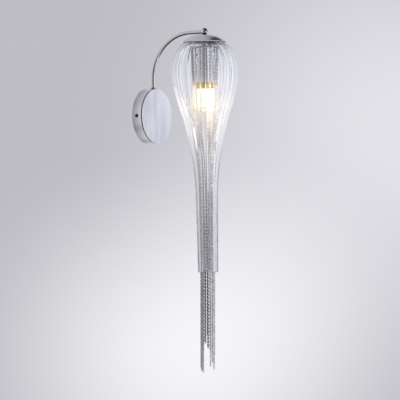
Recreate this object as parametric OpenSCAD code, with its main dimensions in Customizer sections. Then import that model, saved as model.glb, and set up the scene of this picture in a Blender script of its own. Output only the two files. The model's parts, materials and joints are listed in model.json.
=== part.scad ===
// Wall sconce with a fluted teardrop glass and a ring of hanging chains.
// Millimetres. The wall is the plane y = 0 and the sconce stands out towards -Y.
// The origin is the centre of the round canopy, on the wall, with +Z up.

/* [Canopy] */
// Radius of the round canopy cover
canopy_r = 60; // [52:1:75]
// How far the canopy stands out from the wall
canopy_depth = 26; // [24:0.5:34]
// Sheet thickness of the canopy cover
canopy_wall = 1.2; // [0.8:0.1:2]
// Radius that rounds the front edge of the canopy
canopy_edge_r = 1.5; // [1.5:0.5:4]
// Distance from the wall to the axis of the side screws
side_screw_out = 12; // [11:0.5:14]
// Width of the bracket strap
strap_w = 24; // [20:1:32]
// Thickness of the bracket strap
strap_t = 1.5; // [1:0.1:2.5]
// Distance between the centres of the two wall screw slots
slot_spacing = 70; // [66:1:80]
// Length of each wall screw slot from end to end
slot_len = 12; // [8:1:13]
// Radius of the wall screw slots
slot_r = 2.5; // [2:0.1:3]
// Radius of the cable entry in the middle of the bracket
entry_r = 8; // [6:0.5:8.5]

/* [Arm] */
// Outer radius of the arm tube
arm_r = 4; // [3.6:0.1:4.2]
// Bore radius of the arm tube
arm_bore_r = 3; // [2.4:0.1:3.1]
// Height at which the arm begins to bend
bend_start_z = 81; // [72:1:110]
// Radius of the arm's quarter bend, to the tube's centre line
bend_r = 96; // [80:1:105]
// Distance from the wall to the axis of the shade
shade_out = 150; // [140:1:165]
// Radius of the ball at the end of the arm
ball_r = 7; // [6.8:0.1:8.5]

/* [Shade cap] */
// Radius of the domed cap
cap_r = 47; // [45:0.5:50]
// Height of the domed cap
cap_h = 16; // [14.5:0.5:18]
// Sheet thickness of the cap
cap_wall = 1.2; // [0.8:0.1:1.6]

/* [Glass] */
// Radius of the glass at its widest
belly_r = 72.3; // [66:0.5:80]
// Drop from the top of the cap to the widest part of the glass
belly_drop = 78; // [74:1:88]
// Drop from the top of the cap to the straight neck
neck_drop = 350; // [330:1:380]
// Drop from the top of the cap to the lower rim of the glass
rim_drop = 510; // [480:1:560]
// Radius of the glass at the top of its neck
neck_r = 24; // [22.5:0.1:26]
// Radius of the glass at its lower rim
rim_r = 22; // [21:0.1:24]
// Outer radius of the glass at its top opening
lip_r = 37; // [35:0.1:38]
// Thickness of the glass at its widest
belly_wall = 3; // [2.4:0.1:3.6]
// Thickness of the glass at its lower rim
rim_wall = 5.9; // [4.5:0.1:6.2]
// Number of flutes round the glass
flutes = 22; // [16:2:28]
// Depth of a flute at the widest part
flute_belly = 1.6; // [0.6:0.1:2]
// Depth of a flute on the neck
flute_neck = 1.1; // [0.4:0.1:1.4]

/* [Chains] */
// Number of chain strands
strands = 16; // [12:1:16]
// Radius of a chain strand
chain_r = 1.5; // [1.2:0.1:1.6]
// Radius of the circle on which the chains hang
hang_r = 29.6; // [28:0.1:30]
// Drop from the top of the cap to the shortest chain's end
short_drop = 647; // [600:1:680]
// Drop from the top of the cap to the longest chain's end
long_drop = 725; // [690:1:760]

/* [Lamp] */
// Sheet thickness of the tube that covers the lampholder
cover_wall = 0.8; // [0.6:0.1:1.2]
// Length of the tube that covers the lampholder
cover_len = 87; // [84:1:94]
// Radius of the tubular lamp
lamp_r = 15.8; // [15:0.1:17]
// Length of the lamp that shows below the tube
lamp_len = 51; // [40:1:70]
// Radius of the hexagonal brass nut, to its corners
brass_nut_r = 9.6; // [8.5:0.1:11]

/* [Hidden] */

$fn = 64;
slip = 0.2;                       // clearance round a loose screw or tube
close_fit = 0.05;                 // clearance round a threaded or pushed-in piece
seat = 0.02;                      // gap between faces that are clamped together
touch = 0.3;                      // gap left where loose pieces lie against each other
over = 1;                         // how far a cutting shape runs past what it cuts
chrome = [0.80, 0.81, 0.84];
steel = [0.62, 0.63, 0.66];
brass = [0.80, 0.62, 0.30];
clear_glass = [0.88, 0.92, 0.96, 0.45];
opal = [1.00, 0.93, 0.76];
silicone = [0.90, 0.90, 0.88];
ivory = [0.93, 0.92, 0.88];
bakelite = [0.13, 0.12, 0.12];

// Derived places of the canopy parts
cover_in_r = canopy_r - canopy_wall;
tab_w = 14;
tab_x = sqrt(cover_in_r * cover_in_r - tab_w * tab_w / 4) - slip / 2;
tab_past = 6;                     // how far the bracket's tabs run past their screws
screw_r = 2;
screw_head_r = 4;
screw_head_h = 3;
block_w = 16;
block_h = 18;
block_t = 12;
entry_margin = 2;                 // strap left between the cable entry and what sits beside it
block_x = -(entry_r + entry_margin + block_w / 2);
block_pole = 4;                   // distance from the block's middle to each pole
pole_r = 1.7;
clamp_screw_r = 1.2;
clamp_hole_r = 1.9;
clamp_sink = 1.6;
boss_r = 4;
boss_h = 1;
earth_x = entry_r + 2 * entry_margin + boss_r;
collar_r = 5.6;
collar_h = 2.4;
arm_nut_r = 7.2;
arm_nut_h = 4.5;
nut_room = 1.6;                   // left between the arm's nut and the front of the canopy
arm_out = canopy_depth - canopy_wall - arm_nut_r - nut_room;
arm_nut_z = sqrt(cover_in_r * cover_in_r - arm_nut_r * arm_nut_r) - close_fit;
lug_t = 0.8;
lug_rim = 2.6;
arm_lug_z = arm_nut_z - arm_nut_h - lug_t - seat;
arm_end_z = arm_lug_z - 3;

// Derived places along the axis of the shade, from the top down
arm_top_z = bend_start_z + bend_r;
arm_below_ball = 1;               // the arm enters the ball just below its middle
ball_z = arm_top_z + arm_below_ball;
cap_z = ball_z - ball_r;
nipple_r = 4;
arm_end_gap = nipple_r + touch;   // from the shade's axis to the end of the arm tube
nipple_bore_r = 2.75;
nipple_top = arm_top_z - arm_bore_r - 0.4;
cap_rim_z = cap_z - cap_h - cap_wall;
nipple_nut_r = 7.4;
nipple_nut_h = 5;
bar_t = 2;
bar_w = 12;
bar_mid_top = cap_rim_z + 2.2;
brass_h = 4.4;
hub_r = 8;
hub_h = 5.4;
plate_t = 1;
plate_top = bar_mid_top - bar_t - brass_h - hub_h;
cover_top = plate_top - plate_t;
cover_edge_r = 1.5;
lamp_gap = 0.4;                   // left between the lamp and its cover tube
cover_in = lamp_r + lamp_gap;
cover_r = cover_in + cover_wall;
cover_bottom = cover_top - cover_len;
holder_r = 13;
holder_len = 50;
holder_lift = 5;                  // the lampholder's mouth lies this far inside the cover tube
neck_len = 12;                    // the lampholder's narrow top, half of it a cone
neck_out_r = nipple_r + 3;
screw_in = 8;                     // how far the nipple runs into the lampholder
holder_bottom = cover_bottom + holder_lift;
holder_top = holder_bottom + holder_len;
holder_roof = holder_top - neck_len - 3;
nipple_bottom = holder_top - screw_in;
thread_r = 7;                     // radius of the lamp cap's screw thread
thread_len = 16;
sleeve_gap = 0.25;
sleeve_t = 0.6;
sleeve_len = 20;
contact_r = 2.2;
tip_h = 1;
cap_cone_h = 3;
shoulder_h = 8;
lamp_end_r = 6;
lamp_bottom = cover_bottom - lamp_len;
lamp_top = cover_bottom + shoulder_h;
lamp_cap_top = lamp_top + thread_len + cap_cone_h + tip_h;

// Outline of the glass: Bezier spans from the lip to the belly and on to the neck
belly_z = cap_z - belly_drop;
neck_z = cap_z - neck_drop;
rim_z = cap_z - rim_drop;
lip_lean = 0.36;                  // the lip's rise for each millimetre that it lies inside the cap's rim
lip_z = cap_rim_z + lip_lean * (cap_r - lip_r);
shoulder_out = 7.5;               // places the shoulder's curve past the cap's rim, and above it
shoulder_rise = 1;
// Fall of the shoulder at the lip
lip_slope = (lip_z - cap_rim_z - shoulder_rise) / (cap_r + shoulder_out - lip_r);
function bez(p, t) = pow(1 - t, 3) * p[0] + 3 * t * pow(1 - t, 2) * p[1]
    + 3 * t * t * (1 - t) * p[2] + pow(t, 3) * p[3];
function bez_dir(p, t) = 3 * pow(1 - t, 2) * (p[1] - p[0])
    + 6 * t * (1 - t) * (p[2] - p[1]) + 3 * t * t * (p[3] - p[2]);
shoulder_span = [[lip_r, lip_z], [cap_r + shoulder_out, cap_rim_z + shoulder_rise],
    [belly_r, belly_z + 28], [belly_r, belly_z]];
body_span = [[belly_r, belly_z], [belly_r, belly_z - 66], [neck_r + 0.4, neck_z + 140],
    [neck_r, neck_z]];
neck_span = [[neck_r, neck_z], [neck_r - 0.4, neck_z - 40], [rim_r, rim_z + 40], [rim_r, rim_z]];

// How far the glass has narrowed from its belly, from 0 to 1
function narrowed(r, z) = z > belly_z ? 0 : max(0, min(1, (belly_r - r) / (belly_r - rim_r)));
function wall_at(r, z) = belly_wall + (rim_wall - belly_wall) * pow(narrowed(r, z), 4);
function flute_at(r, z) = flute_belly + (flute_neck - flute_belly) * narrowed(r, z);
function inward(d) = [d[1], -d[0]] / norm(d);
function stations(span, first, last, n) = [for (i = [first : last]) let (
    t = i / n,
    p = bez(span, t),
    side = inward(bez_dir(span, t)))
    [p, p + side * wall_at(p[0], p[1])]];
glass_stations = concat(stations(shoulder_span, 0, 8, 9), stations(body_span, 0, 14, 15),
    stations(neck_span, 0, 5, 5));
last_station = len(glass_stations) - 1;
wall_table = [for (s = stations(body_span, 0, 40, 40)) [s[1][1], s[1][0]]];
neck_table = [for (s = stations(neck_span, 0, 10, 10)) [s[1][1], s[1][0]]];
function glass_in_r(z) = lookup(z, concat(neck_table, wall_table));

// Chain rings, and the route that each strand takes down through the glass
ring_r = 2.9;
ring_wire_r = 0.5;
bridge = 1.4;
plate_hole_r = 1.02;
plate_hole_at = hang_r - bridge - plate_hole_r;
plate_r = hang_r + bridge;
ring_z = plate_top - 1.8;         // the rings hang through the plate by their upper halves
hook_z = ring_z - ring_r - ring_wire_r - slip;
chain_gap = chain_r + touch;
contact_z = neck_z + 38;          // where the hanging strands first lie against the glass
exit_z = rim_z - 0.4;             // the strands' stiff parts end just below the glass
pivot_z = exit_z - touch - chain_r;
function strand_r(z) = z >= contact_z
    ? hang_r + (glass_in_r(contact_z) - chain_gap - hang_r) * (hook_z - z) / (hook_z - contact_z)
    : glass_in_r(max(z, rim_z)) - chain_gap;
exit_r = strand_r(exit_z);
neck_steps = 4;
route = [for (z = concat([hook_z, contact_z, (contact_z + neck_z) / 2],
    [for (k = [0 : neck_steps]) neck_z + (exit_z - neck_z) * k / neck_steps])) [strand_r(z), z]];
strand_turn = 11;                 // the first strand's place round the ring
function strand_angle(i) = strand_turn + (i - 1) * 360 / strands;
// Length of each strand, from 0 for the shortest to 1 for the longest
end_share = [0.46, 0, 0.18, 0.61, 0.29, 0.88, 0.96, 1, 0.2, 0.33, 0.85, 0.74, 0.94, 0.56, 0.3, 0.63];
function end_z(i) = cap_z - short_drop - (long_drop - short_drop) * end_share[i - 1];

// Local +Z becomes the direction out from the wall, and local +Y becomes up
module on_wall() {
    rotate([90, 0, 0]) children();
}

// Local X becomes the direction out from the wall, and local Y becomes up
module side_plane() {
    rotate([90, 0, -90]) children();
}

module at_shade_axis() {
    translate([0, -shade_out, 0]) children();
}

module ring(r_out, r_in, h) {
    difference() {
        cylinder(r = r_out, h = h);
        translate([0, 0, -over]) cylinder(r = r_in, h = h + 2 * over);
    }
}

module hex_nut(corner_r, bore_r, h) {
    difference() {
        cylinder(r = corner_r, h = h, $fn = 6);
        translate([0, 0, -over]) cylinder(r = bore_r, h = h + 2 * over);
    }
}

// A round rod between two points
module rod(a, b, r) {
    d = b - a;
    turn = atan2(d[1], d[0]);
    lean = acos(d[2] / norm(d));
    translate(a) rotate([0, lean, turn]) cylinder(r = r, h = norm(d));
}

// A wire through a list of points, with a knuckle a hair wider than the wire at each bend
knuckle = 0.05;
module wire(points, r) {
    for (i = [0 : len(points) - 2]) rod(points[i], points[i + 1], r);
    for (i = [1 : len(points) - 2]) translate(points[i]) sphere(r = r + knuckle, $fn = 24);
}

module slot(len, r, h) {
    travel = len / 2 - r;
    for (x = [-travel, travel]) translate([x, 0, 0]) cylinder(r = r, h = h);
    translate([-travel, -r, 0]) cube([2 * travel, 2 * r, h]);
}

// Canopy parts

module wall_bracket() {
    through = strap_t + 2 * over;
    tab_len = side_screw_out + tab_past;
    color(steel) on_wall() difference() {
        union() {
            translate([-tab_x, -strap_w / 2, 0]) intersection() {
                cube([2 * tab_x, strap_w, strap_t]);
                translate([tab_x, strap_w / 2, -over])
                    cylinder(r = cover_in_r - slip / 2, h = through);
            }
            for (side = [0, 1]) mirror([side, 0, 0])
                translate([tab_x - strap_t, -tab_w / 2, 0]) cube([strap_t, tab_w, tab_len]);
            translate([earth_x, 0, 0]) cylinder(r = boss_r, h = strap_t + boss_h);
        }
        translate([0, 0, -over]) cylinder(r = entry_r, h = through);
        for (side = [-1, 1]) translate([side * slot_spacing / 2, 0, -over])
            slot(slot_len, slot_r, through);
        for (side = [-1, 1]) translate([side * (tab_x - strap_t - over), 0, side_screw_out])
            rotate([0, side * 90, 0]) cylinder(r = screw_r + close_fit, h = through);
        translate([earth_x, 0, -over]) cylinder(r = screw_r + close_fit, h = through + boss_h);
    }
}

module cover_outline(r, depth, edge) {
    polygon(concat([[0, 0], [r, 0]],
        [for (a = [0 : 10 : 90]) [r - edge + edge * cos(a), depth - edge + edge * sin(a)]],
        [[0, depth]]));
}

module canopy_cover() {
    drill = 2 * over + 6 * canopy_wall;
    color(chrome) on_wall() difference() {
        rotate_extrude($fn = 128) difference() {
            cover_outline(canopy_r, canopy_depth, canopy_edge_r);
            translate([0, -over]) cover_outline(cover_in_r, canopy_depth - canopy_wall + over,
                max(touch, canopy_edge_r - canopy_wall));
        }
        for (side = [-1, 1]) translate([side * (canopy_r - drill / 2), 0, side_screw_out])
            rotate([0, side * 90, 0]) cylinder(r = screw_r + slip, h = drill);
        translate([0, canopy_r - drill / 2, arm_out]) rotate([-90, 0, 0])
            cylinder(r = arm_r + slip / 2, h = drill);
    }
}

// A round-headed screw with a slot, head up, its shank running down from z = 0
module slotted_screw(r, head_r, head_h, shank) {
    slot_w = r / 2;
    difference() {
        union() {
            translate([0, 0, -shank]) cylinder(r = r, h = shank + head_h / 2);
            rotate_extrude() polygon(concat([[0, 0]],
                [for (a = [0 : 15 : 90]) [head_r * cos(a), head_h * sin(a)]]));
        }
        translate([-head_r - over, -slot_w / 2, head_h / 2])
            cube([2 * (head_r + over), slot_w, head_h]);
    }
}

module canopy_screws() {
    reach = canopy_r - (tab_x - strap_t) + 2;
    color(chrome) on_wall() for (side = [0, 1]) mirror([side, 0, 0])
        translate([canopy_r + seat, 0, side_screw_out]) rotate([0, 90, 0])
            slotted_screw(screw_r, screw_head_r, screw_head_h, reach);
}

module terminal_block() {
    groove = 2;
    color(ivory) on_wall() translate([block_x, 0, strap_t]) difference() {
        translate([-block_w / 2, -block_h / 2, 0]) cube([block_w, block_h, block_t]);
        for (side = [-1, 1]) {
            translate([side * block_pole, block_h / 2 + over, block_t / 2]) rotate([90, 0, 0])
                cylinder(r = pole_r, h = block_h + 2 * over);
            for (end = [-1, 1]) translate([side * block_pole, end * block_h / 4, block_t / 2])
                cylinder(r = clamp_hole_r, h = block_t);
        }
        translate([-groove / 2, -block_h / 2 - over, block_t - 1.5 * groove])
            cube([groove, block_h + 2 * over, 2 * groove]);
    }
}

module terminal_screws() {
    color(brass) on_wall() translate([block_x, 0, strap_t + block_t - clamp_sink])
        for (side = [-1, 1], end = [-1, 1]) translate([side * block_pole, end * block_h / 4, 0])
            slotted_screw(clamp_screw_r, clamp_hole_r - close_fit, clamp_screw_r,
                block_t / 2 - clamp_sink - wire_r - slip);
}

module earth_screw() {
    color(brass) on_wall() translate([earth_x, 0, strap_t + boss_h + lug_t + 2 * seat])
        slotted_screw(screw_r, screw_head_r - slip, screw_head_h, strap_t + boss_h / 2 + lug_t);
}

// Arm parts

module arm_collar() {
    sink = 2;
    color(chrome) difference() {
        translate([0, -arm_out, canopy_r - sink]) cylinder(r = collar_r, h = collar_h + sink);
        translate([0, -arm_out, 0]) cylinder(r = arm_r + close_fit, h = canopy_r + collar_h + over);
        on_wall() translate([0, 0, -over])
            cylinder(r = canopy_r + seat, h = canopy_depth + 2 * over, $fn = 128);
    }
}

module arm_nut() {
    color(steel) translate([0, -arm_out, arm_nut_z - arm_nut_h])
        hex_nut(arm_nut_r, arm_r + close_fit, arm_nut_h);
}

module arm_solid(r, from_z, to_out) {
    translate([0, -arm_out, from_z]) cylinder(r = r, h = bend_start_z - from_z);
    side_plane() translate([arm_out + bend_r, bend_start_z, 0]) rotate([0, 0, 90])
        rotate_extrude(angle = 90, $fn = 128) translate([bend_r, 0]) circle(r = r);
    side_plane() translate([arm_out + bend_r, arm_top_z, 0]) rotate([0, 90, 0])
        cylinder(r = r, h = to_out - arm_out - bend_r);
}

module arm_tube() {
    color(chrome) difference() {
        arm_solid(arm_r, arm_end_z, shade_out - arm_end_gap);
        arm_solid(arm_bore_r, arm_end_z - over, shade_out - arm_end_gap + over);
    }
}

module arm_ball() {
    foot_r = nipple_r + 1.2;
    foot_h = 3;
    color(chrome) at_shade_axis() difference() {
        union() {
            translate([0, 0, ball_z]) sphere(r = ball_r);
            translate([0, 0, cap_z]) cylinder(r = foot_r, h = foot_h);
        }
        translate([0, arm_end_gap, arm_top_z]) rotate([-90, 0, 0])
            cylinder(r = arm_r + close_fit, h = ball_r + over);
        translate([0, 0, arm_top_z]) rotate([-90, 0, 0]) cylinder(r = nipple_bore_r, h = ball_r);
        translate([0, 0, cap_z - over]) cylinder(r = nipple_bore_r, h = arm_top_z - cap_z + over);
        translate([0, 0, arm_top_z]) sphere(r = nipple_bore_r, $fn = 32);
        translate([0, 0, cap_z - over])
            cylinder(r = nipple_r + close_fit, h = nipple_top - cap_z + over);
    }
}

module threaded_nipple() {
    color(steel) at_shade_axis() translate([0, 0, nipple_bottom])
        ring(nipple_r, nipple_bore_r, nipple_top - nipple_bottom);
}

// Cap and glass

function dome(r) = cap_z - cap_h * pow(r / cap_r, 2.5);
function cap_under(r) = dome(r * cap_r / (cap_r - cap_wall)) - cap_wall;

module shade_cap() {
    inner_r = cap_r - cap_wall;
    color(chrome) at_shade_axis() difference() {
        rotate_extrude($fn = 128) polygon(concat(
            [for (i = [0 : 16]) let (r = cap_r * i / 16) [r, dome(r)]],
            [for (i = [16 : -1 : 0]) let (r = inner_r * i / 16) [r, cap_under(r)]]));
        translate([0, 0, cap_z - cap_wall - over])
            cylinder(r = nipple_r + slip / 2, h = cap_wall + 2 * over);
    }
}

// One nut under the cap and one under the top of the lampholder's cover
module nipple_nuts() {
    color(steel) at_shade_axis()
        for (z = [cap_under(nipple_nut_r) - close_fit, cover_top - cover_wall - seat])
            translate([0, 0, z - nipple_nut_h])
                hex_nut(nipple_nut_r, nipple_r + close_fit, nipple_nut_h);
}

// The gasket lies between the lip of the glass and the underside of the cap
module cap_gasket() {
    inner = lip_r - 3.5;
    outer = lip_r + 4;
    skirt_r = lip_r - flute_belly - touch;
    skirt_z = lip_z - 1.5;
    foot_z = lip_z + close_fit;
    color(silicone) at_shade_axis() rotate_extrude($fn = 96) polygon(concat(
        [[inner, skirt_z], [skirt_r, skirt_z], [skirt_r, foot_z], [lip_r, foot_z],
         [outer, foot_z - (outer - lip_r) * lip_slope]],
        [for (r = [outer, (inner + outer) / 2, inner]) [r, cap_under(r) - touch]]));
}

// One closed shell: fluted outside, plain inside, with the lower rim fire-polished round
fine = 4 * flutes;
plain = 2 * flutes;
rise = [0, 0.74, 1, 0.74];
function fluted_ring(p, z, drop) = [for (j = [0 : fine - 1]) let (
    a = j * 360 / fine,
    r = p[0] - drop - flute_at(p[0], p[1]) * (1 - rise[j % 4]))
    [r * cos(a), r * sin(a), z]];
function plain_ring(r, z) = [for (j = [0 : plain - 1]) let (a = j * 360 / plain)
    [r * cos(a), r * sin(a), z]];
rim_round = 1.3;
rim_in_r = rim_r - rim_wall;
outer_rings = concat(
    [for (i = [0 : last_station - 1]) let (p = glass_stations[i][0]) fluted_ring(p, p[1], 0)],
    [fluted_ring([rim_r, rim_z], rim_z + rim_round, 0),
     fluted_ring([rim_r, rim_z], rim_z + rim_round * 0.3, rim_round * 0.35),
     fluted_ring([rim_r, rim_z], rim_z, rim_round)]);
inner_rings = concat(
    [for (i = [0 : last_station - 1]) let (p = glass_stations[i][1]) plain_ring(p[0], p[1])],
    [plain_ring(rim_in_r, rim_z + rim_round), plain_ring(rim_in_r + rim_round, rim_z)]);
n_outer = len(outer_rings);
n_inner = len(inner_rings);

function skin(n, rings, base, flip) = [for (k = [0 : rings - 2], j = [0 : n - 1], half = [0, 1])
    let (a = base + k * n + j, b = base + k * n + (j + 1) % n,
        c = base + (k + 1) * n + (j + 1) % n, d = base + (k + 1) * n + j)
    half == 0 ? (flip ? [a, c, b] : [a, b, c]) : (flip ? [a, d, c] : [a, c, d])];
function rim_faces(outer, inner, flip) = [for (j = [0 : plain - 1], part = [0, 1, 2]) let (
    i0 = inner + j, i1 = inner + (j + 1) % plain, o0 = outer + 2 * j, o1 = outer + 2 * j + 1,
    o2 = outer + (2 * j + 2) % fine,
    f = part == 0 ? [i0, o1, o0] : part == 1 ? [i0, i1, o1] : [i1, o2, o1])
    flip ? [f[0], f[2], f[1]] : f];

module glass_shade() {
    inner_base = n_outer * fine;
    points = concat([for (r = outer_rings) each r], [for (r = inner_rings) each r]);
    faces = concat(skin(fine, n_outer, 0, false), skin(plain, n_inner, inner_base, true),
        rim_faces(0, inner_base, false),
        rim_faces((n_outer - 1) * fine, inner_base + (n_inner - 1) * plain, true));
    color(clear_glass) at_shade_axis() polyhedron(points, faces);
}

// The bar goes in through the top of the glass on end, and its pads bear up under the shoulder
pad_r = 2.6;
pad_h = 1.6;
pad_at = lip_r + 2;
pad_margin = 1.4;                 // bar left round each pad
inner_slope = 0.37;               // fall of the glass's inner face where the pads bear
pad_top = lip_z - belly_wall - (pad_at + pad_r - lip_r) * inner_slope - slip;
bar_end_top = pad_top - pad_h;
bar_mid = 18;

module support_bar() {
    color(steel) at_shade_axis() difference() {
        union() {
            translate([-bar_mid, -bar_w / 2, bar_mid_top - bar_t]) cube([2 * bar_mid, bar_w, bar_t]);
            for (side = [0, 1]) mirror([side, 0, 0]) {
                translate([bar_mid - bar_t, -bar_w / 2, min(bar_end_top, bar_mid_top) - bar_t])
                    cube([bar_t, bar_w, abs(bar_mid_top - bar_end_top) + bar_t]);
                translate([bar_mid - bar_t, -bar_w / 2, bar_end_top - bar_t])
                    cube([pad_at - bar_mid + bar_t, bar_w, bar_t]);
                translate([pad_at, 0, bar_end_top - bar_t])
                    cylinder(r = pad_r + pad_margin, h = bar_t);
            }
        }
        translate([0, 0, bar_mid_top - bar_t - over])
            cylinder(r = nipple_r + slip / 2, h = bar_t + 2 * over);
    }
}

module support_pads() {
    color(silicone) at_shade_axis() for (side = [-1, 1])
        translate([side * pad_at, 0, bar_end_top]) cylinder(r = pad_r, h = pad_h);
}

module brass_nut() {
    color(brass) at_shade_axis() translate([0, 0, plate_top + hub_h])
        hex_nut(brass_nut_r, nipple_r + close_fit, brass_h);
}

// Chains

module chain_plate() {
    color(steel) at_shade_axis() translate([0, 0, plate_top - plate_t]) difference() {
        union() {
            cylinder(r = plate_r, h = plate_t, $fn = 96);
            cylinder(r = hub_r, h = plate_t + hub_h);
        }
        translate([0, 0, -over]) cylinder(r = nipple_r + close_fit, h = plate_t + hub_h + 2 * over);
        for (i = [1 : strands]) rotate([0, 0, strand_angle(i)]) translate([plate_hole_at, 0, -over])
            cylinder(r = plate_hole_r, h = plate_t + 2 * over, $fn = 24);
    }
}

module chain_rings() {
    color(steel) at_shade_axis() for (i = [1 : strands]) rotate([0, 0, strand_angle(i)])
        translate([hang_r, 0, ring_z]) rotate([90, 0, 0])
            rotate_extrude($fn = 32) translate([ring_r, 0]) circle(r = ring_wire_r, $fn = 16);
}

module chain_strand(i) {
    color(steel) at_shade_axis() rotate([0, 0, strand_angle(i)])
        wire([for (p = route) [p[0], 0, p[1]]], chain_r);
}

module chain_end(i) {
    color(steel) at_shade_axis() rotate([0, 0, strand_angle(i)]) translate([exit_r, 0, 0]) {
        translate([0, 0, pivot_z]) sphere(r = chain_r, $fn = 24);
        translate([0, 0, end_z(i)]) cylinder(r = chain_r, h = pivot_z - end_z(i));
    }
}

// Lamp

module socket_cover() {
    edge_x = cover_r - cover_edge_r;
    edge_z = cover_top - cover_edge_r;
    color(chrome) at_shade_axis() difference() {
        rotate_extrude() difference() {
            polygon(concat([[0, cover_bottom], [cover_r, cover_bottom]],
                [for (a = [0 : 15 : 90]) [edge_x + cover_edge_r * cos(a), edge_z + cover_edge_r * sin(a)]],
                [[0, cover_top]]));
            translate([0, cover_bottom - over]) square([cover_in, cover_len + over - cover_wall]);
        }
        translate([0, 0, cover_top - cover_wall - over])
            cylinder(r = nipple_r + close_fit, h = cover_wall + 2 * over);
    }
}

module lampholder() {
    mouth_r = thread_r + 1.2;
    color(bakelite) at_shade_axis() difference() {
        union() {
            translate([0, 0, holder_bottom]) cylinder(r = holder_r, h = holder_len - neck_len);
            translate([0, 0, holder_top - neck_len])
                cylinder(r1 = holder_r, r2 = neck_out_r, h = neck_len / 2);
            translate([0, 0, holder_top - neck_len / 2]) cylinder(r = neck_out_r, h = neck_len / 2);
        }
        translate([0, 0, holder_bottom - over])
            cylinder(r = mouth_r, h = holder_roof - holder_bottom + over);
        translate([0, 0, nipple_bottom - close_fit])
            cylinder(r = nipple_r + close_fit, h = screw_in + over);
        translate([0, 0, holder_bottom]) cylinder(r = nipple_bore_r, h = holder_len);
    }
}

// The threaded sleeve that grips the lamp, and the sprung contact at its centre
module holder_contacts() {
    color(brass) at_shade_axis() {
        translate([0, 0, holder_roof - sleeve_len])
            ring(thread_r + sleeve_gap + sleeve_t, thread_r + sleeve_gap, sleeve_len - seat);
        translate([0, 0, lamp_cap_top + seat])
            cylinder(r = contact_r, h = holder_roof - lamp_cap_top - 2 * seat);
    }
}

module lamp_cap() {
    color(steel) at_shade_axis() translate([0, 0, lamp_top]) {
        cylinder(r = thread_r, h = thread_len);
        translate([0, 0, thread_len]) cylinder(r1 = thread_r - sleeve_t, r2 = contact_r + sleeve_t,
            h = cap_cone_h);
        translate([0, 0, thread_len + cap_cone_h]) cylinder(r = contact_r, h = tip_h);
    }
}

module lamp_envelope() {
    bend_low = cover_bottom - 4;
    bend_high = cover_bottom + 1;
    throat = [[lamp_r, bend_low], [lamp_r, bend_high], [thread_r, bend_high], [thread_r, lamp_top]];
    color(opal) at_shade_axis() rotate_extrude() polygon(concat(
        [[0, lamp_bottom], [lamp_r - lamp_end_r, lamp_bottom]],
        [for (a = [-75 : 15 : 0]) [lamp_r - lamp_end_r * (1 - cos(a)),
            lamp_bottom + lamp_end_r * (1 + sin(a))]],
        [for (t = [0 : 0.125 : 1]) bez(throat, t)], [[0, lamp_top]]));
}

// Wiring

wire_r = 0.9;
wire_gap = 1.05;                  // from the middle of the bore to each wire
turn_r = 3;                       // bend of the supply wires inside the ball
wire_in = 7;                      // how far a wire runs into its clamp
wire_straight = 4;                // straight run of a wire out of its clamp and below the arm

// One supply wire: terminal block, arm bore, ball, nipple, lampholder
module supply_wire(side, tint) {
    x = side * wire_gap;
    start = [block_x + side * block_pole, -(strap_t + block_t / 2), block_h / 2 - wire_in];
    clear = [start[0], start[1], block_h / 2 + wire_straight];
    foot = [x, -arm_out, arm_end_z - wire_straight];
    bend_out = arm_out + bend_r;
    holder_end = holder_roof + slip / 2;
    color(tint) {
        translate(start) cylinder(r = wire_r, h = clear[2] - start[2]);
        translate(clear) sphere(r = wire_r + knuckle, $fn = 24);
        rod(clear, foot, wire_r);
        translate(foot) sphere(r = wire_r + knuckle, $fn = 24);
        translate(foot) cylinder(r = wire_r, h = bend_start_z - foot[2]);
        translate([x, 0, 0]) side_plane() translate([bend_out, bend_start_z, 0])
            rotate([0, 0, 90]) rotate_extrude(angle = 90, $fn = 128)
                translate([bend_r, 0]) circle(r = wire_r);
        translate([x, -bend_out, arm_top_z]) rotate([90, 0, 0])
            cylinder(r = wire_r, h = shade_out - turn_r - bend_out);
        translate([x, 0, 0]) side_plane() translate([shade_out - turn_r, arm_top_z - turn_r, 0])
            rotate_extrude(angle = 90) translate([turn_r, 0]) circle(r = wire_r);
        translate([x, -shade_out, holder_end])
            cylinder(r = wire_r, h = arm_top_z - turn_r - holder_end);
    }
}

module live_wire() {
    supply_wire(-1, [0.36, 0.22, 0.13]);
}

module neutral_wire() {
    supply_wire(1, [0.16, 0.30, 0.62]);
}

// The earth wire runs between two ring lugs, on the bracket's screw and on the foot of the arm
module earth_wire() {
    lug_out = strap_t + boss_h + seat;
    lug_reach = screw_r + lug_rim;
    lift = 9;
    lug_hold = 0.4;               // how far the wire runs into the bracket's lug
    color([0.45, 0.62, 0.12]) {
        translate([earth_x, -lug_out, 0]) rotate([90, 0, 0]) ring(lug_reach, screw_r + slip / 2, lug_t);
        wire([[earth_x + 1, -lug_out - wire_r, lug_reach - lug_hold],
            [earth_x + 3, -lug_out - 2, lug_reach + lift],
            [earth_x - 4, -arm_out + 1, arm_lug_z - lift],
            [arm_r + lug_rim / 2, -arm_out, arm_lug_z + slip / 2]], wire_r);
        translate([0, -arm_out, arm_lug_z]) ring(arm_r + lug_rim, arm_r + close_fit, lug_t);
    }
}

wall_bracket();
canopy_cover();
canopy_screws();
terminal_block();
terminal_screws();
earth_screw();
arm_collar();
arm_nut();
arm_tube();
arm_ball();
threaded_nipple();
shade_cap();
nipple_nuts();
cap_gasket();
glass_shade();
support_bar();
support_pads();
brass_nut();
chain_plate();
chain_rings();
socket_cover();
lampholder();
holder_contacts();
lamp_cap();
lamp_envelope();
live_wire();
neutral_wire();
earth_wire();
for (i = [1 : strands]) {
    chain_strand(i);
    chain_end(i);
}
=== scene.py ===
"""Looks of a wall sconce.

A polished canopy and arm, a fluted glass teardrop, and a ring of hanging chains round a lit lamp.
"""

import json
import math
import random

import bpy
from mathutils import Matrix, Vector, noise


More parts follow.
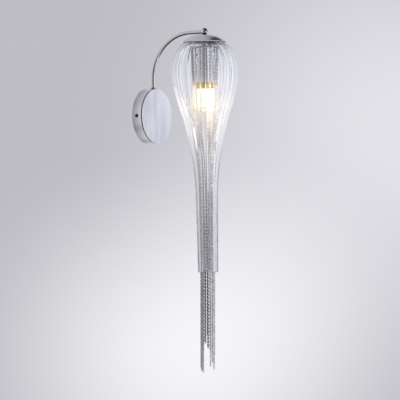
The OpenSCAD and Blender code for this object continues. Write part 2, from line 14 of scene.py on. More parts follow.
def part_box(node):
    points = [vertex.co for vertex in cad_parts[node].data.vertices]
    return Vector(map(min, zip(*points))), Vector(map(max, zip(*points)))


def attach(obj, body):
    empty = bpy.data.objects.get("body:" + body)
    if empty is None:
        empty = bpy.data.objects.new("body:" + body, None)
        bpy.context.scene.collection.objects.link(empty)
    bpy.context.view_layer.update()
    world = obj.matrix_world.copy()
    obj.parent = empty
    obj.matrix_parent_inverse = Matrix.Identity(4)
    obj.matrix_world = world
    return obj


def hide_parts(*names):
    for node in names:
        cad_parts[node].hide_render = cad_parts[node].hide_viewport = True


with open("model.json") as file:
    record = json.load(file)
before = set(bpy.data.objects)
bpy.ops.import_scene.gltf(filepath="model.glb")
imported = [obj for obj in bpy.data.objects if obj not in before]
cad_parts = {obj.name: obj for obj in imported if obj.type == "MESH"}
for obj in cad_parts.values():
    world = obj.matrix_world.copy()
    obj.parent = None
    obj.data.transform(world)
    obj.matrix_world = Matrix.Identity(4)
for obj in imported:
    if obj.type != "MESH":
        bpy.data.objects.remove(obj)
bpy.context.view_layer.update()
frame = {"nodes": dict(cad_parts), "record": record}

MM = 0.001
FIXTURE = "fixture"

# The shade's axis and outer face as in the CAD, in millimetres: (radius, height) points of Bezier spans
SHADE_OUT = 150
BELLY_R = 72.3
BELLY_Z = 93
RIM_R = 22
RIM_Z = -339
BELLY = (BELLY_R, BELLY_Z)
NECK_TOP = (24, -179)
RIM = (RIM_R, RIM_Z)
SHOULDER_SPAN = ((37, 157.4), (54.5, 154.8), (72.3, 121), BELLY)
BODY_SPAN = (BELLY, (72.3, 27), (24.4, -39), NECK_TOP)
NECK_SPAN = (NECK_TOP, (23.6, -219), (22, -299), RIM)
# Each span, and how many rings of points the mesh has on it
GLASS_SPANS = ((SHOULDER_SPAN, 24), (BODY_SPAN, 60), (NECK_SPAN, 22))
# Wall thickness, and the flutes: their count, and their depth at the belly and at the rim
BELLY_WALL = 3
RIM_WALL = 2.6
FLUTES = 22
POINTS_PER_FLUTE = 12
FLUTE_BELLY = 1.6
FLUTE_RIM = 1.1

# Strands of chain round the shade's axis, and the angle of the first, in degrees
STRANDS = 16
FIRST_ANGLE = 11
# (radius, height) points down each strand in the glass, in millimetres
ROUTE = (
    (29.6, 138.15),
    (18.315, -141),
    (17.168, -160),
    (16.734, -179),
    (16.081, -219.1),
    (15.337, -259.2),
    (14.669, -299.3),
    (14.3, -339.35),
)
# How far each of these points is moved to the left: the strands hang plumb in a glass that leans a little
DRIFT = (0, 1.4, 1.8, 1.8, 1.8, 1.8, 1.4, 0.6)
# Height at which the free ends swing, and how far they lean
PIVOT_Z = -341.2
LEAN = math.radians(0.9)
# How far a strand turns about itself at most, in radians
UPPER_TWIST = 1.6
FREE_TWIST = 0.9
# A link in millimetres: its wire's radius, its outer width, the step to the next link, and its outer
# length, at which two links just touch where they hook together
LINK_WIRE = 0.8
LINK_WIDTH = 4.2
LINK_PITCH = 3.6
LINK_LENGTH = LINK_PITCH + 4 * LINK_WIRE
LINK_BEND_STEPS = 5
WIRE_SIDES = 6

# The photograph's camera, fitted to the canopy and the shade. Lens and sensor are in millimetres.
VIEW_AZIMUTH = math.radians(-57.93)
VIEW_ELEVATION = math.radians(0.595)
VIEW_ROLL = math.radians(-0.9)
VIEW_DISTANCE = 3.7
VIEW_LENS = 155.06
VIEW_SENSOR = 36
VIEW_TARGET_RIGHT = -0.01505
VIEW_TARGET_Z = -0.184

# Pools of light on the backdrop: degrees to the right of the view's middle and above it,
# half width and half height in degrees, and glow
POOLS = (
    (-0.23, -5.6, 8.6, 7.6, (0.403, 0.403, 0.396, 1)),
    (6.75, 1.6, 11.2, 10.1, (0.258, 0.255, 0.260, 1)),
)
# What polished metal mirrors at its own height: degrees to the right of the camera, and colour
BELT = (
    (-180, (0.60, 0.60, 0.64)),
    (-110, (0.60, 0.60, 0.62)),
    (-64, (0.56, 0.55, 0.55)),
    (-42, (0.40, 0.40, 0.42)),
    (-24, (0.22, 0.21, 0.22)),
    (-8, (0.03, 0.028, 0.03)),
    (36, (0.03, 0.03, 0.033)),
    (46, (0.80, 0.81, 0.86)),
    (62, (1.00, 1.02, 1.08)),
    (98, (0.92, 0.94, 1.02)),
    (116, (0.67, 0.68, 0.78)),
    (140, (0.68, 0.69, 0.78)),
    (180, (0.60, 0.60, 0.64)),
)

BACK = Vector(
    (
        math.sin(VIEW_AZIMUTH) * math.cos(VIEW_ELEVATION),
        -math.cos(VIEW_AZIMUTH) * math.cos(VIEW_ELEVATION),
        math.sin(VIEW_ELEVATION),
    )
)
RIGHT = (-BACK).cross(Vector((0, 0, 1))).normalized()
SHADE = Vector((0, -SHADE_OUT * MM, 0))


# Meshes


def add_mesh(name, points, faces, material, body=FIXTURE, smooth=True):
    """A new piece from points in metres, riding on a body."""
    mesh = bpy.data.meshes.new(name)
    mesh.from_pydata(points, [], faces)
    mesh.materials.append(material)
    mesh.polygons.foreach_set("use_smooth", [smooth] * len(mesh.polygons))
    mesh.update()
    piece = bpy.data.objects.new(name, mesh)
    bpy.context.scene.collection.objects.link(piece)
    if body:
        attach(piece, body)
    return piece


def tube_faces(rings, around, closed):
    """Quads between rings of points. A closed tube joins its last ring to its first."""
    faces = []
    for k in range(rings if closed else rings - 1):
        low, high = k * around, (k + 1) % rings * around
        for j in range(around):
            n = (j + 1) % around
            faces.append((low + j, high + j, high + n, low + n))
    return faces


def lathe(name, profile, material):
    """A solid turned about the shade's axis from (radius, height) points that begin and end on it."""
    around = 96
    points = []
    for r, z in profile:
        for j in range(around):
            a = math.tau * j / around
            points.append(SHADE + Vector((r * math.cos(a), r * math.sin(a), z)) * MM)
    return add_mesh(name, points, tube_faces(len(profile), around, False), material)


# Glass


def bezier(span, t):
    """The point at share t of a span."""
    a, b, c, d = (Vector(p) for p in span)
    s = 1 - t
    return a * s**3 + b * (3 * t * s**2) + c * (3 * t**2 * s) + d * t**3


def bezier_inward(span, t):
    """The unit direction from the outer face into the wall."""
    a, b, c, d = (Vector(p) for p in span)
    s = 1 - t
    along = (b - a) * s**2 + (c - b) * (2 * t * s) + (d - c) * t**2
    return Vector((along.y, -along.x)).normalized()


def narrowed(r, z):
    """How far the glass has narrowed from its belly, from 0 to 1."""
    return 0 if z > BELLY_Z else max(0, min(1, (BELLY_R - r) / (BELLY_R - RIM_R)))


def glass_stations():
    """Outer and inner (radius, height) points down the glass."""
    # The wall stays thick round the belly and thins towards the neck
    thinning = 4
    outer, inner = [], []
    for span, steps in GLASS_SPANS:
        for k in range(steps):
            p = bezier(span, k / steps)
            wall = BELLY_WALL + (RIM_WALL - BELLY_WALL) * narrowed(*p) ** thinning
            outer.append(p)
            inner.append(p + bezier_inward(span, k / steps) * wall)
    return outer, inner


def glass_rings():
    """A closed loop of (radius, height, flute depth).

    It goes down the outside, round the rim, up the inside and over the lip.
    """
    outer, inner = glass_stations()
    share = [narrowed(*p) for p in outer]
    depth = [FLUTE_BELLY + (FLUTE_RIM - FLUTE_BELLY) * s for s in share]
    rings = [(p.x, p.y, d) for p, d in zip(outer, depth)]
    rim_round, rim_steps = 2.2, 12
    middle, half = RIM_R - RIM_WALL / 2, RIM_WALL / 2
    for k in range(rim_steps + 1):
        turn = math.pi * k / rim_steps
        fade = 0.5 + 0.5 * math.cos(turn)
        rings.append(
            (
                middle + half * math.cos(turn),
                RIM_Z + rim_round * (1 - math.sin(turn)),
                FLUTE_RIM * fade,
            )
        )
    inside = [(p.x, p.y, d * (1 - s)) for p, d, s in zip(inner, depth, share)]
    return rings + inside[::-1]


def make_glass(material):
    """The fluted shade as one closed shell, a little uneven as blown glass is."""
    around = FLUTES * POINTS_PER_FLUTE
    # How uneven the glass is, in millimetres, and the scales of its waves round it and up it
    uneven, waves_round, wave_height = 0.12, 2.2, 42
    rings = glass_rings()
    points = []
    for r, z, depth in rings:
        for j in range(around):
            a = math.tau * j / around
            phase = j / POINTS_PER_FLUTE % 1
            lobe = 1 - (2 * phase - 1) ** 2
            spot = (math.cos(a) * waves_round, math.sin(a) * waves_round, z / wave_height + r)
            radius = r - depth * (1 - lobe) + uneven * noise.noise(Vector(spot))
            points.append(
                SHADE + Vector((radius * math.cos(a), radius * math.sin(a), z)) * MM
            )
    glass = add_mesh("glass", points, tube_faces(len(rings), around, True), material)
    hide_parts("glass_shade")


# Chains


def link_shape():
    """One link as (x, z) points of its wire's middle line and the outward direction at each."""
    bend = LINK_WIDTH / 2 - LINK_WIRE
    straight = LINK_LENGTH / 2 - LINK_WIDTH / 2
    shape = []
    for side, start in ((1, 0), (-1, math.pi)):
        for k in range(LINK_BEND_STEPS + 1):
            a = start + math.pi * k / LINK_BEND_STEPS
            shape.append(((bend * math.cos(a), side * straight + bend * math.sin(a)), a))
    return shape


LINK_SHAPE = link_shape()


def add_link(points, faces, centre, down, across):
    """Adds one link at centre, hanging along down and lying flat along across."""
    out = down.cross(across).normalized()
    first = len(points)
    for (x, z), a in LINK_SHAPE:
        middle = centre + across * x - down * z
        outward = across * math.cos(a) - down * math.sin(a)
        for k in range(WIRE_SIDES):
            turn = math.tau * k / WIRE_SIDES
            points.append(
                (middle + (outward * math.cos(turn) + out * math.sin(turn)) * LINK_WIRE) * MM
            )
    for face in tube_faces(len(LINK_SHAPE), WIRE_SIDES, True):
        faces.append(tuple(first + i for i in face))


def add_strand(points, faces, path, turned, twist):
    """Links from the first to the last point of path, each a quarter turn from the one before.

    turned is the first link's angle about the strand, and twist how far the strand turns on its way.
    Gives back how many steps there are between the links.
    """
    lengths = [(b - a).length for a, b in zip(path, path[1:])]
    count = max(1, round(sum(lengths) / LINK_PITCH))
    step = sum(lengths) / count
    leg, done = 0, 0
    for k in range(count + 1):
        at = k * step
        while leg < len(lengths) - 1 and at > done + lengths[leg]:
            done += lengths[leg]
            leg += 1
        down = (path[leg + 1] - path[leg]).normalized()
        centre = path[leg] + down * (at - done)
        angle = turned + math.pi / 2 * (k % 2) + twist * k / count
        side = down.cross(Vector((0, 1, 0))).normalized()
        across = Matrix.Rotation(angle, 3, down) @ side
        add_link(points, faces, centre, down, across)
    return count


def leaned(point):
    """A point of a free end, which hangs plumb while the glass stands a little out of plumb."""
    return point + RIGHT * ((point.z - PIVOT_Z) * math.tan(LEAN))


def make_chains(material):
    """Each strand in two pieces: the part in the glass, and the free end that swings below it."""
    rng = random.Random(7)
    shade = SHADE / MM
    for i in range(1, STRANDS + 1):
        angle = math.radians(FIRST_ANGLE + (i - 1) * 360 / STRANDS)
        outward = Vector((math.cos(angle), math.sin(angle), 0))
        path = [
            shade + outward * r + Vector((0, 0, z)) - RIGHT * drift
            for (r, z), drift in zip(ROUTE, DRIFT)
        ]
        twist = rng.uniform(-UPPER_TWIST, UPPER_TWIST)
        points, faces = [], []
        count = add_strand(points, faces, path, angle, twist)
        upper = add_mesh(f"chain_links_{i}", points, faces, material)
        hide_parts(f"chain_{i}")

        end_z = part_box(f"chain_end_{i}")[0].z / MM
        low = path[-1].copy()
        top = Vector((low.x, low.y, PIVOT_Z - LINK_PITCH / 2))
        bottom = Vector((low.x, low.y, end_z + LINK_LENGTH / 2))
        turned = angle + twist + math.pi / 2 * ((count + 1) % 2)
        twist = rng.uniform(-FREE_TWIST, FREE_TWIST)
        points, faces = [], []
        add_strand(points, faces, [top, leaned(bottom)], turned, twist)
        free = add_mesh(f"chain_tail_{i}", points, faces, material, f"hanging_end_{i}")
        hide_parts(f"chain_end_{i}")


# Lamp


def make_lamp(material):
    """A tubular opal lamp with a groove round it near its lower end."""
    low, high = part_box("lamp_envelope")
    bottom, top = low.z / MM, high.z / MM
    radius = (high.x - low.x) / 2 / MM
    neck_r, end_r = 7, 6
    groove_z, groove_half, groove_deep = bottom + 7.7, 0.9, 0.5
    shoulder_low, shoulder_high = top - 12, top - 7
    end_steps, groove_steps, shoulder_steps = 12, 8, 16
    profile = [(0, bottom)]
    for k in range(end_steps + 1):
        a = math.pi / 2 * k / end_steps
        profile.append(
            (radius - end_r + end_r * math.sin(a), bottom + end_r * (1 - math.cos(a)))
        )
    for k in range(groove_steps + 1):
        t = 2 * k / groove_steps - 1
        dip = groove_deep * (0.5 + 0.5 * math.cos(math.pi * t))
        profile.append((radius - dip, groove_z + groove_half * t))
    shoulder = (
        (radius, shoulder_low),
        (radius, shoulder_high),
        (neck_r, shoulder_high),
        (neck_r, top),
    )
    profile += [tuple(bezier(shoulder, k / shoulder_steps)) for k in range(shoulder_steps + 1)]
    profile.append((0, top))
    lamp = lathe("lamp_glass", profile, material)
    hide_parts("lamp_envelope")


# Finishes


class Nodes:
    """Adds nodes to a tree. Inputs that are sockets are linked, and others are set."""

    def __init__(self, tree):
        self.tree = tree

    def add(self, kind, inputs=None, **settings):
        node = self.tree.nodes.new("ShaderNode" + kind)
        for name, value in settings.items():
            setattr(node, name, value)
        for name, value in (inputs or {}).items():
            socket = node.inputs[name]
            if isinstance(value, bpy.types.NodeSocket):
                self.tree.links.new(value, socket)
            else:
                socket.default_value = value
        return node

    def math(self, operation, *values):
        return self.add(
            "Math", dict(enumerate(values)), operation=operation
        ).outputs[0]

    def spread(self, value, low, high, to_low=0.0, to_high=1.0, kind="SMOOTHSTEP"):
        """value from low to high becomes to_low to to_high."""
        inputs = {
            "Value": value,
            "From Min": low,
            "From Max": high,
            "To Min": to_low,
            "To Max": to_high,
        }
        return self.add("MapRange", inputs, interpolation_type=kind).outputs[0]

    def mix(self, factor, a, b, blend="MIX"):
        """Colours a and b mixed by factor, or b added to a or multiplied with it in that share."""
        factor_in, a_in, b_in, colour_out = 0, 6, 7, 2
        inputs = {factor_in: factor, a_in: a, b_in: b}
        node = self.add("Mix", inputs, data_type="RGBA", blend_type=blend)
        return node.outputs[colour_out]

    def ramp(self, value, *stops, ease="EASE"):
        """A colour ramp with (position, colour) stops."""
        node = self.add("ValToRGB", {"Fac": value})
        ramp = node.color_ramp
        ramp.interpolation = ease
        while len(ramp.elements) < len(stops):
            ramp.elements.new(0.5)
        for element, (position, colour) in zip(ramp.elements, stops):
            element.position, element.color = position, colour
        return node.outputs["Color"]


class Finish(Nodes):
    """A material round one Principled shader, patterned in the object's own coordinates."""

    def __init__(self, name, **values):
        self.material = bpy.data.materials.new(name)
        self.material.use_nodes = True
        super().__init__(self.material.node_tree)
        self.shader = self.tree.nodes["Principled BSDF"]
        for socket, value in values.items():
            self.shader.inputs[socket.replace("_", " ")].default_value = value

    def feed(self, socket, value):
        self.tree.links.new(value, self.shader.inputs[socket])

    def place(self):
        return self.add("TexCoord").outputs["Object"]

    def coordinate(self, axis, kind="Object"):
        """One coordinate of the place on the object, or of its surface's direction with kind Normal."""
        vector = self.add("TexCoord").outputs[kind]
        return self.add("SeparateXYZ", {"Vector": vector}).outputs[axis]

    def reach(self, axis, kind="Object"):
        """How far the place, or the surface's direction, goes along an axis of any direction."""
        vector = self.add("TexCoord").outputs[kind]
        inputs = {0: vector, 1: axis}
        return self.add("VectorMath", inputs, operation="DOT_PRODUCT").outputs["Value"]

    def noise(self, scale, detail=2.0, stretch=(1, 1, 1)):
        spot = self.add("Mapping", {"Vector": self.place(), "Scale": stretch})
        inputs = {"Vector": spot.outputs[0], "Scale": scale, "Detail": detail}
        return self.add("TexNoise", inputs).outputs["Fac"]

    def bump(self, height, strength, distance):
        inputs = {"Height": height, "Strength": strength, "Distance": distance}
        self.feed("Normal", self.add("Bump", inputs).outputs["Normal"])

    def grain(self):
        """The fine grain of moulded plastic."""
        self.bump(self.noise(900.0, 3.0), 0.15, 0.0002)


def grey(value, alpha=1.0):
    return (value, value, value, alpha)


def metal(
    name, dark, light, rough, scale, stretch=(1, 1, 1), wave=0.0, shade=None, metallic=1.0
):
    """A metal whose tint and polish vary softly.

    wave bends its reflections a little, and shade paints light and shade on it in places.
    """
    finish = Finish(name, Metallic=metallic)
    tint = finish.ramp(finish.noise(scale, 3.0, stretch), (0.35, dark), (0.65, light))
    if shade:
        tint = finish.mix(1.0, tint, shade(finish), "MULTIPLY")
    finish.feed("Base Color", tint)
    smear = finish.noise(scale * 6, 4.0, stretch)
    finish.feed("Roughness", finish.spread(smear, 0.3, 0.7, *rough))
    if wave:
        finish.bump(finish.noise(scale * 0.5, 1.0, stretch), wave, 0.002)
    return finish.material


def plastic(name, dark, light, rough):
    """Moulded plastic with a fine grain and slightly uneven colour."""
    finish = Finish(name, IOR=1.5)
    finish.feed(
        "Base Color", finish.ramp(finish.noise(70.0, 3.0), (0.3, dark), (0.7, light))
    )
    finish.feed("Roughness", finish.spread(finish.noise(240.0, 4.0), 0.3, 0.7, *rough))
    finish.grain()
    return finish.material


def shade_glass():
    """Clear glass with a faint cool tint and painted lamp glow, which casts no dark shadow on what it
    holds.
    """
    finish = Finish(
        "clear_fluted_glass", Roughness=0.0, IOR=1.5, Transmission_Weight=1.0, Emission_Strength=1.0
    )
    tint = finish.ramp(
        finish.noise(26.0, 2.0), (0.3, (0.955, 0.97, 0.99, 1)), (0.7, (0.99, 0.992, 1, 1))
    )
    finish.feed("Base Color", tint)
    finish.bump(finish.noise(60.0, 2.0, (1, 1, 0.15)), 0.15, 0.0006)
    # Painted glow standing for the lamp's light in the glass: brightest round the lamp, and gone towards
    # the rim
    height = finish.coordinate("Z")
    veil_low, veil_high = -0.26, 0.155
    painted_glow = finish.ramp(
        finish.spread(height, veil_low, veil_high, kind="LINEAR"),
        (0.0, grey(0.0)),
        (0.32, (0.020, 0.019, 0.019, 1)),
        (0.55, (0.052, 0.048, 0.043, 1)),
        (0.66, (0.070, 0.064, 0.053, 1)),
        (0.76, (0.046, 0.045, 0.044, 1)),
        (0.92, (0.020, 0.020, 0.022, 1)),
        (1.0, (0.010, 0.010, 0.011, 1)),
    )
    streaks = finish.spread(finish.noise(90.0, 3.0, (1, 1, 0.06)), 0.35, 0.65, 0.7, 1.25)
    painted_glow = finish.mix(1.0, painted_glow, streaks, "MULTIPLY")
    # Painted glints of the lamp's light: fine warm lines close to the lamp
    near_low, near_high = -0.11, 0.05
    near = finish.ramp(
        finish.spread(height, near_low, near_high, kind="LINEAR"),
        (0.0, grey(0.0)),
        (0.45, (0.050, 0.040, 0.022, 1)),
        (0.85, (0.062, 0.050, 0.026, 1)),
        (1.0, grey(0.0)),
    )
    lines = finish.spread(finish.noise(420.0, 3.0, (1, 1, 0.07)), 0.53, 0.66)
    painted_glow = finish.mix(1.0, painted_glow, finish.mix(1.0, near, lines, "MULTIPLY"), "ADD")
    finish.feed("Emission Color", painted_glow)
    path = finish.add("LightPath").outputs
    through = finish.math("MAXIMUM", path["Is Shadow Ray"], path["Is Diffuse Ray"])
    clear = finish.add("BsdfTransparent", {"Color": (0.94, 0.95, 0.97, 1)}).outputs[0]
    both = finish.add(
        "MixShader", {0: through, 1: finish.shader.outputs[0], 2: clear}
    ).outputs[0]
    finish.tree.links.new(both, finish.tree.nodes["Material Output"].inputs["Surface"])
    return finish.material


def lit_opal():
    """Opal glass, lit from inside: almost white, yellower at its ends and dark in its groove."""
    finish = Finish("lit_opal_glass", Roughness=0.35, Emission_Strength=0.55)
    lit_height = 0.051
    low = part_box("lamp_envelope")[0].z
    white, warm, dim = (1, 0.97, 0.80, 1), (0.72, 0.6, 0.33, 1), (0.03, 0.02, 0.0, 1)
    glow = finish.ramp(
        finish.spread(finish.coordinate("Z"), low, low + lit_height, kind="LINEAR"),
        (0.0, warm),
        (0.06, white),
        (0.125, white),
        (0.135, dim),
        (0.172, dim),
        (0.182, white),
        (0.94, white),
        (1.0, warm),
        ease="LINEAR",
    )
    finish.feed("Emission Color", glow)
    cloud = finish.noise(80.0, 2.0)
    finish.feed(
        "Base Color", finish.ramp(cloud, (0.3, (0.9, 0.84, 0.7, 1)), (0.7, (0.95, 0.91, 0.8, 1)))
    )
    return finish.material


def painted_side_reflection(finish):
    """Painted reflection of the wall, darker and bluer towards it, and a painted dark line near the
    front.
    """
    canopy_depth = 0.026
    return finish.ramp(
        finish.spread(finish.coordinate("Y"), -canopy_depth, 0.0, kind="LINEAR"),
        (0.0, grey(1.0)),
        (0.030, grey(1.0)),
        (0.045, grey(0.10)),
        (0.115, grey(0.10)),
        (0.150, grey(1.0)),
        (0.63, (0.76, 0.76, 0.79, 1)),
        (1.0, (0.50, 0.51, 0.57, 1)),
        ease="LINEAR",
    )


def painted_underside_shade(finish):
    """Painted shade where the arm faces down, away from the light, and painted warm light on the way
    there.
    """
    facing_down, nearly_level = -0.72, -0.04
    return finish.ramp(
        finish.spread(finish.coordinate("Z", "Normal"), facing_down, nearly_level, kind="LINEAR"),
        (0.0, grey(0.05)),
        (0.28, grey(0.06)),
        (0.38, (0.74, 0.71, 0.67, 1)),
        (0.80, (0.86, 0.83, 0.79, 1)),
        (1.0, grey(1.0)),
    )


def painted_cap_shade(finish):
    """Painted shade underneath, where the cap closes over its gasket and nuts."""
    up = finish.coordinate("Z", "Normal")
    return finish.ramp(finish.spread(up, -0.3, 0.0), (0.0, grey(0.75)), (1.0, grey(1.0)))


def painted_lamp_light(finish):
    """Painted lamp light: amber at the lower end, where the lamp lights it."""
    amber_to, plain_from = 0.010, 0.015
    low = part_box("socket_cover")[0].z
    share = finish.spread(finish.coordinate("Z"), low + amber_to, low + plain_from)
    return finish.ramp(share, (0.0, (0.96, 0.62, 0.20, 1)), (1.0, grey(1.0)))


def painted_ball_shade(finish):
    """Painted dark reflection on the ball's upper right, and painted shade on its foot."""
    upper_right = (RIGHT * 0.55 + Vector((0, 0, 0.8))).normalized()
    facing = finish.reach(upper_right, "Normal")
    top = finish.ramp(finish.spread(facing, 0.06, 0.36), (0.0, grey(1.0)), (1.0, grey(0.16)))
    foot_high, fade = 0.003, 0.001
    foot_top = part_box("arm_ball")[0].z + foot_high
    above_foot = finish.spread(finish.coordinate("Z"), foot_top, foot_top + fade)
    foot = finish.ramp(above_foot, (0.0, grey(0.10)), (1.0, grey(1.0)))
    return finish.mix(1.0, top, foot, "MULTIPLY")


def chrome(
    name, shade=None, dark=(0.82, 0.83, 0.86, 1), light=(0.88, 0.885, 0.90, 1), metallic=1.0
):
    """Polished chrome, a little wavy."""
    return metal(name, dark, light, (0.02, 0.06), 30.0, (1, 1, 0.25), 0.25, shade, metallic)


def lit_links():
    """Bright nickel links, with painted lamp light: warm and bright close to the lamp that hangs among
    them.
    """
    finish = Finish("nickel_links", Metallic=0.55, Emission_Strength=1.0)
    tint = finish.ramp(
        finish.noise(120.0, 3.0), (0.35, (0.57, 0.55, 0.56, 1)), (0.65, (0.75, 0.72, 0.74, 1))
    )
    # Strands differ at random; painted shade dulls those just left of the middle, painted light lifts the
    # right
    strand = finish.ramp(
        finish.noise(150.0, 0.0, (1, 1, 0.03)),
        (0.38, grey(0.70)),
        (0.46, grey(0.95)),
        (0.62, grey(1.05)),
    )
    half_width = 0.018
    across = finish.reach(RIGHT)
    middle = SHADE.dot(RIGHT)
    lit = finish.ramp(
        finish.spread(across, middle - half_width, middle + half_width, kind="LINEAR"),
        (0.0, grey(0.88)),
        (0.22, grey(0.88)),
        (0.30, grey(0.52)),
        (0.45, grey(0.52)),
        (0.54, grey(1.3)),
        (1.0, grey(1.3)),
    )
    strand = finish.mix(1.0, strand, lit, "MULTIPLY")
    finish.feed("Base Color", finish.mix(1.0, tint, strand, "MULTIPLY"))
    finish.feed("Roughness", finish.spread(finish.noise(700.0, 4.0), 0.3, 0.7, 0.2, 0.34))
    # Painted lamp glow on the links beside it, less below it and little down the neck
    glow_low = -0.345
    glow_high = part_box("lamp_envelope")[1].z + 0.02
    glow = finish.ramp(
        finish.spread(finish.coordinate("Z"), glow_low, glow_high, kind="LINEAR"),
        (0.0, grey(0.0)),
        (0.024, (0.05, 0.05, 0.055, 1)),
        (0.34, (0.095, 0.093, 0.10, 1)),
        (0.57, (0.11, 0.107, 0.11, 1)),
        (0.686, (0.13, 0.12, 0.11, 1)),
        (0.755, (0.28, 0.245, 0.18, 1)),
        (0.789, (0.38, 0.335, 0.24, 1)),
        (0.828, (0.42, 0.375, 0.26, 1)),
        (0.839, (0.56, 0.525, 0.36, 1)),
        (0.940, (0.56, 0.525, 0.36, 1)),
        (0.957, (0.18, 0.14, 0.07, 1)),
        (1.0, grey(0.0)),
    )
    # Less of it on the strands furthest right
    edge_out, edge_fade = 0.016, 0.004
    right_edge = middle + edge_out
    beside = finish.spread(across, right_edge, right_edge + edge_fade, 1.0, 0.35)
    glow = finish.mix(1.0, glow, beside, "MULTIPLY")
    finish.feed("Emission Color", finish.mix(0.4, glow, strand, "MULTIPLY"))
    return finish.material


def dress_frame():
    """New finishes for the CAD nodes that stay in view, by node or else by the record's slots."""
    finishes = {
        "steel": metal(
            "zinc_plate", (0.50, 0.50, 0.53, 1), (0.68, 0.68, 0.72, 1), (0.22, 0.4), 160.0
        ),
        "brass": metal(
            "turned_brass", (0.72, 0.50, 0.20, 1), (0.86, 0.66, 0.34, 1), (0.16, 0.3), 200.0
        ),
        "silicone": plastic(
            "silicone", (0.80, 0.80, 0.78, 1), (0.90, 0.90, 0.88, 1), (0.5, 0.65)
        ),
        "white_plastic": plastic(
            "ivory_plastic", (0.84, 0.82, 0.76, 1), (0.93, 0.92, 0.88, 1), (0.35, 0.5)
        ),
        "black_plastic": plastic(
            "black_plastic", (0.03, 0.03, 0.03, 1), (0.07, 0.065, 0.06, 1), (0.3, 0.45)
        ),
        "brown_insulation": plastic(
            "brown_insulation", (0.20, 0.09, 0.04, 1), (0.30, 0.15, 0.07, 1), (0.35, 0.5)
        ),
        "blue_insulation": plastic(
            "blue_insulation", (0.05, 0.15, 0.50, 1), (0.10, 0.24, 0.62, 1), (0.35, 0.5)
        ),
        "green_insulation": green_yellow(),
    }
    own = {
        "canopy_cover": chrome(
            "canopy_chrome", painted_side_reflection, (0.80, 0.81, 0.84, 1), (1.0, 1.0, 1.0, 1), 0.78
        ),
        # The screws are made near black, darker than plain steel
        "canopy_screws": metal(
            "dark_screw_steel", (0.05, 0.045, 0.045, 1), (0.10, 0.09, 0.09, 1), (0.3, 0.45), 300.0
        ),
        "arm_tube": chrome("arm_chrome", painted_underside_shade),
        "arm_ball": chrome("ball_chrome", painted_ball_shade),
        "shade_cap": chrome("cap_chrome", painted_cap_shade),
        # Silicone made dark grey: painted shade, where the gasket sits under the cap
        "cap_gasket": plastic(
            "silicone_in_painted_shade", (0.20, 0.20, 0.20, 1), (0.28, 0.28, 0.28, 1), (0.5, 0.65)
        ),
        "brass_nut": metal(
            "bright_brass", (0.90, 0.70, 0.34, 1), (1.0, 0.84, 0.50, 1), (0.25, 0.4), 200.0
        ),
        # Darkened chrome: painted shade on the collar
        "arm_collar": chrome("collar_chrome_painted_dark", None, (0.34, 0.34, 0.36, 1), (0.44, 0.44, 0.46, 1)),
        "socket_cover": chrome("cover_chrome", painted_lamp_light),
    }
    for row in frame["record"]["subparts"]:
        finish = own.get(row["node"]) or finishes.get(row["material_slot"])
        if finish:
            for place in frame["nodes"][row["node"]].material_slots:
                place.material = finish


def green_yellow():
    """Earth wire insulation: green with a yellow stripe along it."""
    finish = Finish("green_yellow_insulation", IOR=1.5, Roughness=0.4)
    radians_per_metre = 2600.0
    stripes = finish.math("SINE", finish.math("MULTIPLY", finish.coordinate("X"), radians_per_metre))
    colours = finish.ramp(
        finish.spread(stripes, -1.0, 1.0),
        (0.45, (0.06, 0.32, 0.05, 1)),
        (0.55, (0.80, 0.66, 0.06, 1)),
    )
    finish.feed("Base Color", colours)
    finish.grain()
    return finish.material


# Studio


def make_floor():
    """A pale floor under the sconce that fades out at its edge."""
    radius, height, rings, around = 1.15, -0.75, 12, 64
    fade_from, fade_to = 0.45, radius * 0.98
    points = []
    for k in range(1, rings + 1):
        for j in range(around):
            a = math.tau * j / around
            r = radius * k / rings
            points.append((r * math.cos(a), SHADE.y + r * math.sin(a), height))
    faces = tube_faces(rings, around, False)
    faces.append(tuple(range(around)))
    finish = Finish("studio_floor", Roughness=0.7)
    inputs = {0: finish.place(), 1: (0, SHADE.y, height)}
    offset = finish.add("VectorMath", inputs, operation="DISTANCE").outputs["Value"]
    finish.feed("Alpha", finish.spread(offset, fade_from, fade_to, 1.0, 0.0))
    cloud = finish.noise(3.0, 2.0)
    finish.feed("Base Color", finish.ramp(cloud, (0.3, grey(0.76)), (0.7, grey(0.80))))
    floor = add_mesh("studio_floor", points, faces, finish.material, body=None, smooth=False)


def soft_light(name, at, size, power, colour):
    """A large lamp, turned to the shade, that lights plain surfaces and isn't seen itself."""
    light = bpy.data.lights.new(name, "AREA")
    light.shape, light.size, light.size_y = "RECTANGLE", size[0], size[1]
    light.energy, light.color = power, colour
    lamp = bpy.data.objects.new(name, light)
    lamp.location = at
    lamp.rotation_euler = (SHADE - at).to_track_quat("-Z", "Y").to_euler()
    lamp.visible_camera = lamp.visible_glossy = lamp.visible_transmission = False
    bpy.context.scene.collection.objects.link(lamp)


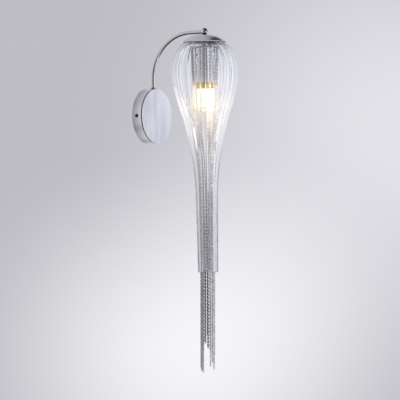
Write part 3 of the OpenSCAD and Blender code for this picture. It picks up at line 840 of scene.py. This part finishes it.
def make_world():
    """The backdrop that the camera sees, and the light.

    Plain surfaces get even light, polished metal a studio, and glass the backdrop with white round it.
    """
    world = bpy.data.worlds.new("studio")
    bpy.context.scene.world = world
    world.use_nodes = True
    nodes = Nodes(world.node_tree)
    world.node_tree.nodes.remove(world.node_tree.nodes["Background"])
    towards = nodes.add("TexCoord").outputs["Generated"]

    def along(axis):
        inputs = {0: towards, 1: axis}
        return nodes.add("VectorMath", inputs, operation="DOT_PRODUCT").outputs["Value"]

    def offset(value, middle, half):
        """How far a value in radians lies from middle, in shares of half, which are in degrees."""
        apart = nodes.math("SUBTRACT", value, math.radians(middle))
        return nodes.math("DIVIDE", apart, math.radians(half))

    side, height = along(RIGHT), along(Vector((0, 0, 1)))
    backdrop = (0.516, 0.511, 0.552, 1)
    for right, up, wide, high, glow in POOLS:
        inputs = {"X": offset(side, right, wide), "Y": offset(height, up, high)}
        spot = nodes.add("CombineXYZ", inputs).outputs[0]
        reach = nodes.add("VectorMath", {0: spot}, operation="LENGTH").outputs["Value"]
        share = nodes.spread(reach, 0.0, 1.0, 1.0, 0.0)
        backdrop = nodes.mix(share, backdrop, glow, "ADD")
    inputs = {0: towards, 1: -BACK}
    off_view = nodes.add("VectorMath", inputs, operation="DISTANCE").outputs["Value"]
    seen = nodes.mix(nodes.spread(off_view, 0.2, 0.4), backdrop, (0.74, 0.735, 0.76, 1))

    # What polished metal mirrors: a belt round the object, and what is above and below it
    turn = nodes.math("ARCTAN2", side, along(BACK))
    stops = [((angle + 180) / 360, colour + (1,)) for angle, colour in BELT]
    belt = nodes.ramp(nodes.spread(turn, -math.pi, math.pi, kind="LINEAR"), *stops)
    wall_side = nodes.spread(along(Vector((0, 1, 0))), -0.3, 0.6)
    above = nodes.ramp(
        nodes.spread(side, -1.0, 1.0, kind="LINEAR"),
        (0.0, (0.50, 0.50, 0.54, 1)),
        (0.35, (0.48, 0.485, 0.53, 1)),
        (0.50, (0.40, 0.40, 0.45, 1)),
        (0.56, (0.30, 0.30, 0.35, 1)),
        (0.63, (0.06, 0.06, 0.08, 1)),
        (1.0, (0.06, 0.06, 0.08, 1)),
    )
    below = nodes.mix(wall_side, (0.80, 0.81, 0.86, 1), (0.30, 0.32, 0.38, 1))
    studio = nodes.mix(nodes.spread(height, 0.35, 0.7), belt, above)
    studio = nodes.mix(nodes.spread(height, -0.35, -0.75), studio, below)
    studio = nodes.mix(nodes.spread(off_view, 0.15, 0.5), backdrop, studio)

    # What shows through the glass: the backdrop, and white where its edges bend the view aside
    through = nodes.mix(nodes.spread(off_view, 0.1, 0.35), backdrop, (0.88, 0.88, 0.915, 1))

    path = nodes.add("LightPath").outputs
    mirrored = nodes.math("GREATER_THAN", path["Glossy Depth"], 0.5)
    glassy = nodes.mix(mirrored, through, studio)
    sharp = nodes.math("MAXIMUM", path["Is Glossy Ray"], path["Is Transmission Ray"])
    colour = nodes.mix(sharp, (0.62, 0.62, 0.64, 1), glassy)
    colour = nodes.mix(path["Is Camera Ray"], colour, seen)
    back = nodes.add("Background", {"Color": colour, "Strength": 1.0}).outputs[0]
    world.node_tree.links.new(back, world.node_tree.nodes["World Output"].inputs["Surface"])


def make_lights():
    """Three soft lamps: right, left and above."""
    middle = SHADE + Vector((0, 0, -0.1))
    soft_light(
        "key",
        middle + RIGHT * 1.5 + BACK * 0.7 + Vector((0, 0, 0.7)),
        (0.7, 1.6),
        10.0,
        (1.0, 0.99, 0.97),
    )
    soft_light(
        "fill",
        middle - RIGHT * 1.6 + BACK * 0.5 + Vector((0, 0, 0.3)),
        (0.6, 1.4),
        5.0,
        (0.97, 0.98, 1.0),
    )
    soft_light(
        "top", middle + BACK * 0.2 + Vector((0, 0, 1.7)), (0.9, 0.9), 6.0, (1.0, 1.0, 1.0)
    )


def make_camera():
    """The photograph's view."""
    up = RIGHT.cross(-BACK)
    right = RIGHT * math.cos(VIEW_ROLL) + up * math.sin(VIEW_ROLL)
    up = up * math.cos(VIEW_ROLL) - RIGHT * math.sin(VIEW_ROLL)
    target = SHADE + RIGHT * VIEW_TARGET_RIGHT + Vector((0, 0, VIEW_TARGET_Z))
    data = bpy.data.cameras.new("camera")
    data.lens, data.sensor_width = VIEW_LENS, VIEW_SENSOR
    camera = bpy.data.objects.new("camera", data)
    turned = Matrix((right, up, BACK)).transposed().to_4x4()
    camera.matrix_world = Matrix.Translation(target + BACK * VIEW_DISTANCE) @ turned
    bpy.context.scene.collection.objects.link(camera)
    bpy.context.scene.camera = camera


make_camera()
make_world()
make_lights()
make_floor()
dress_frame()
make_glass(shade_glass())
make_chains(lit_links())
make_lamp(lit_opal())

bpy.context.scene.view_settings.view_transform = "Standard"
